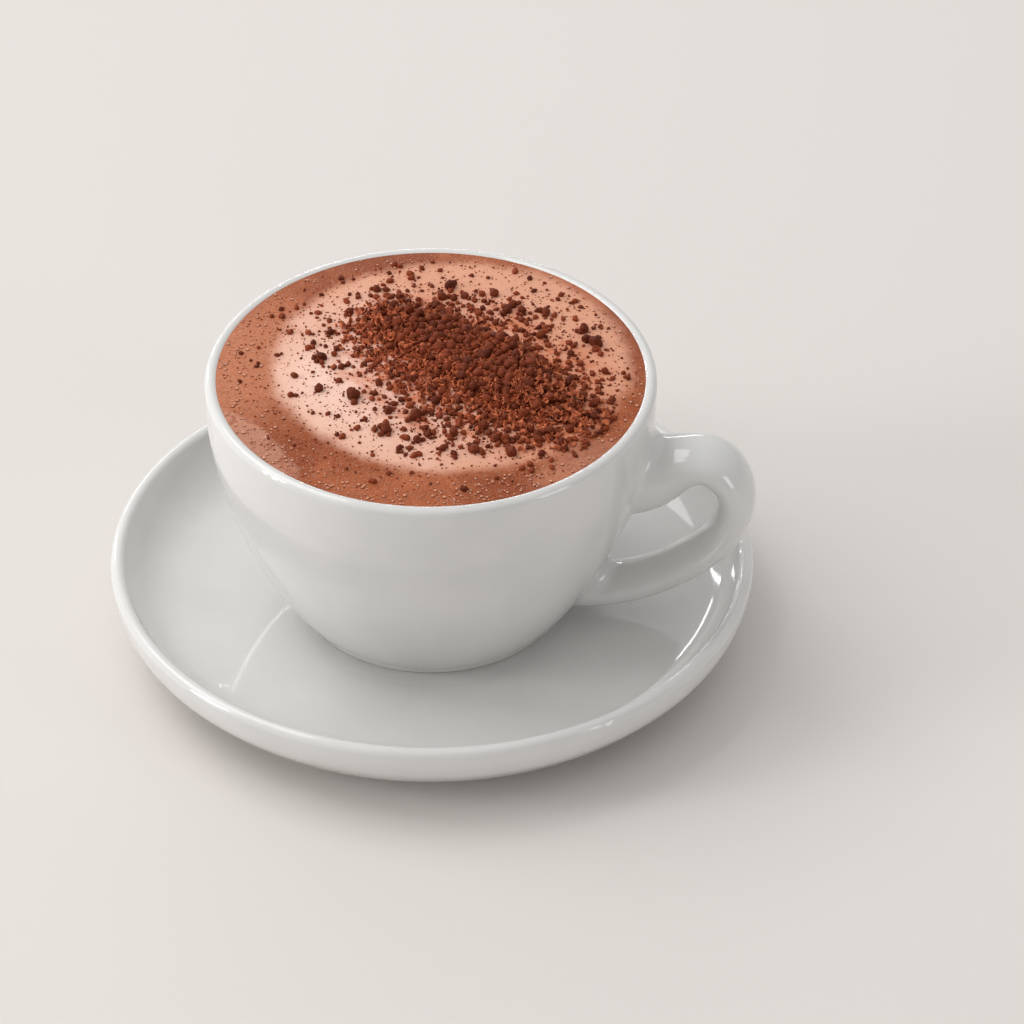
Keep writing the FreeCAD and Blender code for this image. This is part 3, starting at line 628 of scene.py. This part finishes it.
# %% Lone lumps round the heap
LONE_LUMPS = [
    (-17.9, -10.2, 1.9), (-25.6, 5.3, 1.4), (-20.9, 1.4, 0.9), (-26.0, -7.1, 1.25),
    (-21.4, -4.0, 0.8), (-21.4, -17.6, 0.6), (-15.1, -19.0, 0.7), (-10.2, -23.2, 1.5),
    (-9.7, -16.2, 1.2), (-3.4, -18.1, 1.7), (-2.9, -27.0, 1.1), (-7.1, -30.2, 0.9),
    (4.3, 34.6, 1.5), (2.4, 29.9, 1.3), (5.2, 29.5, 1.0), (7.8, 30.4, 1.0),
    (14.8, 31.6, 1.2), (19.0, 26.9, 1.1), (17.9, 24.8, 1.3), (21.3, 24.6, 1.2),
    (27.0, 24.2, 1.2), (35.9, 17.5, 1.4), (38.7, 12.0, 1.7), (36.4, 13.4, 1.2),
    (25.6, 14.3, 1.2), (40.8, 0.8, 1.0), (32.8, 7.4, 0.9), (19.0, -31.4, 1.5),
    (25.8, -31.4, 1.0), (10.2, -30.6, 1.4), (-13.0, 33.5, 1.1), (-19.5, 24.0, 1.0),
    (-23.8, 15.4, 1.0), (5.5, -24.6, 1.3), (12.3, -22.0, 1.4), (1.2, -12.7, 1.2),
    (15.2, -26.3, 1.2), (24.9, -24.8, 1.3), (30.5, -27.0, 1.1), (3.0, -30.0, 1.0),
]
for east, north, radius in LONE_LUMPS:
    height = froth_height(east, north) + 0.45 * radius
    lay(lumps, draw, lump_shapes, (east, north, height), radius, (0.0, 0.4))
    for _ in range(draw.choice((0, 1, 1, 2, 3))):
        angle, small = draw.uniform(0, 2 * math.pi), draw.uniform(0.35, 0.62) * radius
        beside_east = east + (radius + 0.5 * small) * math.cos(angle)
        beside_north = north + (radius + 0.5 * small) * math.sin(angle)
        height = froth_height(beside_east, beside_north) + 0.4 * small
        lay(lumps, draw, lump_shapes, (beside_east, beside_north, height), small, (0.1, 0.6))
chocolate_lumps = gather("chocolate_lumps", lumps)
print("chocolate_lumps:", len(lumps), "lumps,", len(chocolate_lumps.data.polygons), "faces")


# %% Flakes down both sides
FLAKES = 1300
draw = random.Random(23)
flakes = []
while len(flakes) < FLAKES:
    along = draw.uniform(-36, 37)
    near_side = draw.random() < 0.33
    across = draw.gauss(-12.5, 5.5) if near_side else draw.gauss(0.0, 7.5)
    east, north = ridge_place(along, across)
    reach = math.hypot(along / 37, (across + 3.0) / 20.0)
    if reach > draw.uniform(0.55, 1.15) or math.hypot(east, north) > 46:
        continue
    scale = draw.uniform(0.7, 1.6)
    lift = draw.uniform(0.05, 0.75) if abs(across) > 6 else draw.uniform(0.3, 1.7)
    height = min(bed_height(east, north) + lift, TOP - 1.6 * scale)
    lay(flakes, draw, flake_shapes, (east, north, height), scale, (0.0, 0.5), tilt=0.8)
# Painted light: the flakes' long edges are made lighter.
chocolate_flakes = gather("chocolate_flakes", flakes, painted_edge_light=0.8)
print("chocolate_flakes:", len(flakes), "flakes,", len(chocolate_flakes.data.polygons), "faces")


# %% Crumbs between and beyond
def crumb_chance(east, north):
    """How likely a crumb is to lie at a place: thick on the heap, thinner outside, bare near the far left."""
    offset = Vector((east, north)) - RIDGE_MIDDLE
    along, across = offset.dot(RIDGE_ALONG), offset.dot(RIDGE_ACROSS)
    near_heap = math.exp(-((along / 35) ** 4) - ((across + 1.5) / 16) ** 2)
    front_lobe = math.exp(-((east - 9) / 17) ** 2 - ((north + 19) / 9) ** 2)
    back_lobe = math.exp(-((east - 20) / 20) ** 2 - ((north - 22) / 10) ** 2)
    left_lobe = math.exp(-((east + 12) / 12) ** 2 - ((north - 6) / 18) ** 2)
    return min(1.0, 0.75 * near_heap + 0.56 * front_lobe + 0.29 * back_lobe + 0.15 * left_lobe + 0.035)


CRUMBS = 2000
draw = random.Random(37)
crumbs = []
while len(crumbs) < CRUMBS:
    east, north = draw.uniform(-46, 48), draw.uniform(-46, 46)
    if math.hypot(east, north) > 46.5 or draw.random() > crumb_chance(east, north):
        continue
    radius = 0.26 + 0.76 * draw.random() ** 1.7
    height = min(bed_height(east, north) + 0.35 * radius, TOP - radius)
    lay(crumbs, draw, crumb_shapes, (east, north, height), radius, (0.1, 0.9), tilt=0.6)
chocolate_crumbs = gather("chocolate_crumbs", crumbs)
print("chocolate_crumbs:", len(crumbs), "crumbs,", len(chocolate_crumbs.data.polygons), "faces")


# %% Specks of chocolate dust
SPECKS = 6500
draw = random.Random(53)
specks = []
while len(specks) < SPECKS:
    east, north = draw.uniform(-49, 49), draw.uniform(-49, 49)
    reach = math.hypot(east, north)
    chance = min(1.0, crumb_chance(east, north) * 1.1 + 0.20) * (1.0 if reach < 42 else 0.75)
    if reach > 48.8 or draw.random() > chance:
        continue
    radius = 0.10 + 0.24 * draw.random() ** 1.8
    height = bed_height(east, north) + 0.2 * radius
    lay(specks, draw, speck_shapes, (east, north, height), radius, (0.0, 1.0), tilt=0.5)
chocolate_specks = gather("chocolate_specks", specks)
print("chocolate_specks:", len(specks), "specks")


# %% [markdown]
# ## Finish of the chocolate
# Dark chocolate that was ground and crumbled has lost its shine, and a thin bloom of its own dust makes
# it dull and a little pale on top. Flakes are thin at their long edges, where light shines through; that
# light is painted in, so those edges look lighter and redder.
# The finest dust and the imported bed under the heap have soaked up some froth, so they are browner.

# %% Chocolate finish
def chocolate_finish(name, dark, light, bloom, **constants):
    """Dull chocolate whose tone comes with each crumb, dusted and faintly pitted."""
    material, tree, surface, here = open_material(name, IOR=1.46, **constants)
    # The tone attribute also carries the painted light at the flakes' long edges.
    tone = put(tree, "ShaderNodeAttribute", attribute_name="tone").outputs["Fac"]
    cloud = use_group(tree, mottle, {"Place": here, "Scale": 700.0, "Detail": 4.0})
    dust = use_group(tree, mottle, {"Place": here, "Scale": 2600.0, "Detail": 2.0})
    cloud_swing = math_node(tree, "SUBTRACT", cloud["Value"], 0.5)
    mixed = plus(tree, tone, times(tree, cloud_swing, 0.7), clamp=True)
    body = blend(tree, mixed, dark, light)
    dusted = blend(tree, times(tree, ramp(tree, dust["Value"], 0.45, 0.75), 0.35), body, bloom)
    tree.links.new(dusted, surface.inputs["Base Color"])
    tree.links.new(plus(tree, times(tree, cloud["Value"], 0.3), 0.38), surface.inputs["Roughness"])
    pitted = use_group(tree, grain, {"Place": here, "Scale": 1500.0, "Depth": 0.22 * MM, "Strength": 0.55})
    tree.links.new(pitted["Normal"], surface.inputs["Normal"])
    return material


lump_finish = chocolate_finish("chocolate_lump", dark=shade(82, 31, 15), light=shade(154, 71, 40),
                               bloom=shade(148, 82, 56), Specular_IOR_Level=0.14)
flake_finish = chocolate_finish("chocolate_flake", dark=shade(106, 41, 20), light=shade(232, 132, 88),
                                bloom=shade(222, 134, 96), Specular_IOR_Level=0.2)
dust_finish = chocolate_finish("chocolate_dust", dark=shade(92, 38, 20), light=shade(182, 94, 56),
                               bloom=shade(170, 100, 70), Specular_IOR_Level=0.12)
bed_finish = chocolate_finish("chocolate_bed", dark=shade(142, 66, 36), light=shade(214, 126, 82),
                              bloom=shade(226, 146, 104), Specular_IOR_Level=0.25)
chocolate_lumps.data.materials.append(lump_finish)
chocolate_crumbs.data.materials.append(lump_finish)
chocolate_specks.data.materials.append(dust_finish)
chocolate_flakes.data.materials.append(flake_finish)
mound.data.materials.clear()
mound.data.materials.append(bed_finish)


# %% [markdown]
# ## Bubbles at the edge
# The brown ring is wet, and the larger bubbles stand there as tiny clear domes with a glint on each. Their
# sides are painted dark as shade and their tops paler. They crowd against the porcelain at the front, where
# the pour stopped.

# %% Bubbles
BUBBLES = 860
DRINK_EDGE = 50.2
draw = random.Random(71)
bubble_shape = broken_ball("bubble", 3, 2, 0.0, 1.0, (1.0, 1.0, 0.75))
bubbles = []
while len(bubbles) < BUBBLES:
    angle = draw.uniform(-math.pi, math.pi)
    reach = 50.0 - abs(draw.gauss(0, 4.6))
    front = 0.5 - 0.5 * math.sin(angle + 0.5)
    if reach < 37 or draw.random() > 0.12 + 0.88 * front:
        continue
    radius = min(0.14 + 0.36 * draw.random() ** 3, DRINK_EDGE - reach)
    east, north = reach * math.cos(angle), reach * math.sin(angle)
    if radius < 0.1:
        continue
    height = froth_height(east, north)
    bubbles.append((bubble_shape, placed(draw, east, north, height, radius, 0.0), draw.random()))
froth_bubbles = gather("froth_bubbles", bubbles)
bubble_finish, tree, surface, here = open_material("bubble", IOR=1.36, Coat_Weight=0.15, Coat_Roughness=0.05)
film = use_group(tree, mottle, {"Place": here, "Scale": 500.0, "Detail": 2.0})
facing = put(tree, "ShaderNodeNewGeometry").outputs["Normal"]
# Painted shade: each bubble is dark brown on its sides and turns to its paler crown where it faces up.
facing_up_for_painted_shade = put(tree, "ShaderNodeSeparateXYZ", {"Vector": facing}).outputs["Z"]
crown = blend(tree, film["Value"], BROWN_LIGHT, CREAM_WARM)
tree.links.new(blend(tree, ramp(tree, facing_up_for_painted_shade, 0.25, 0.85), BROWN_DARK_AND_SHADE, crown), surface.inputs["Base Color"])
film_roughness = plus(tree, times(tree, film["Value"], 0.15), 0.06)
tree.links.new(film_roughness, surface.inputs["Roughness"])
froth_bubbles.data.materials.append(bubble_finish)
print("froth_bubbles:", len(bubbles))

for piece in (mound, chocolate_lumps, chocolate_flakes, chocolate_crumbs, chocolate_specks):
    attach(piece, "root")
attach(froth_bubbles, "root")


# %% [markdown]
# ## The table, the light and the view
# The cup is seen from a little above, through a long lens, on a plain pale table top. A broad soft light
# stands high on the left, a little behind the cup, so the shadow falls to the right and towards us. The
# room adds soft light from above, and two narrow panes behind draw bright streaks in the saucer's wall.

# %% Table top
def make_table():
    """A plain pale table top."""
    shape = bmesh.new()
    bmesh.ops.create_grid(shape, x_segments=1, y_segments=1, size=6.0)
    mesh = bpy.data.meshes.new("table_top")
    shape.to_mesh(mesh)
    shape.free()
    table = bpy.data.objects.new("table_top", mesh)
    bpy.context.collection.objects.link(table)
    material, tree, surface, here = open_material("table_paint")
    cloud = use_group(tree, mottle, {"Place": here, "Scale": 3.0, "Detail": 3.0})
    paint = blend(tree, cloud["Value"], shade(220, 215, 211), shade(224, 219, 215))
    tree.links.new(paint, surface.inputs["Base Color"])
    surface.inputs["Roughness"].default_value = 0.6
    table.data.materials.append(material)
    return table


def add_light(name, place, aim, width, height, power, tint=(1, 1, 1)):
    """A soft rectangular light that shines from a place towards a point."""
    light = bpy.data.lights.new(name, "AREA")
    light.shape = "RECTANGLE"
    light.size, light.size_y = width, height
    light.energy = power
    light.color = tint
    lamp = bpy.data.objects.new(name, light)
    lamp.location = place
    lamp.rotation_euler = (Vector(aim) - Vector(place)).to_track_quat("-Z", "Y").to_euler()
    lamp.visible_camera = False
    bpy.context.collection.objects.link(lamp)
    return lamp


make_table()
add_light("window_light", (-0.98, 0.42, 1.52), (0, 0, 0.04), 1.4, 1.2, 13.5, (1.0, 0.985, 0.975))
add_light("left_light", (-1.6, -0.35, 0.55), (0, 0, 0.04), 0.35, 0.8, 9.0, (1.0, 0.99, 0.985))
add_light("right_card", (1.5, -0.9, 0.5), (0, 0, 0.04), 0.5, 0.8, 4.0)
add_light("left_pane", (-1.05, 1.55, 0.50), (0.05, 0, 0.015), 0.05, 0.5, 1.4)
add_light("right_pane", (-0.35, 1.85, 0.46), (0, 0, 0.015), 1.2, 0.05, 2.6)


def make_room():
    """Soft light from all round, brightest from above on the left, where the window is."""
    world = bpy.data.worlds.new("room")
    world.use_nodes = True
    tree = world.node_tree
    direction = tree.nodes.new("ShaderNodeTexCoord").outputs["Generated"]
    brightest = (-0.60, 0.35, 0.70)
    toward = put(tree, "ShaderNodeVectorMath", {0: direction, 1: brightest}, operation="DOT_PRODUCT")
    share = ramp(tree, toward.outputs["Value"], -0.8, 0.9)
    glow = blend(tree, share, (0.25, 0.248, 0.246, 1), (0.735, 0.73, 0.725, 1))
    tree.links.new(glow, tree.nodes["Background"].inputs["Color"])
    bpy.context.scene.world = world


make_room()
bpy.context.scene.view_settings.view_transform = "Standard"

# %% Camera
lens = bpy.data.cameras.new("view")
lens.sensor_width = 36.0
lens.lens = 300.66
lens.clip_end = 20.0
camera = bpy.data.objects.new("view", lens)
camera.location = (0.0190, -1.6164, 1.2510)
camera.rotation_euler = (math.radians(53.0), 0, 0)
bpy.context.collection.objects.link(camera)
bpy.context.scene.camera = camera

# %% Close the lesson
print("box of the construction model:", model_box)
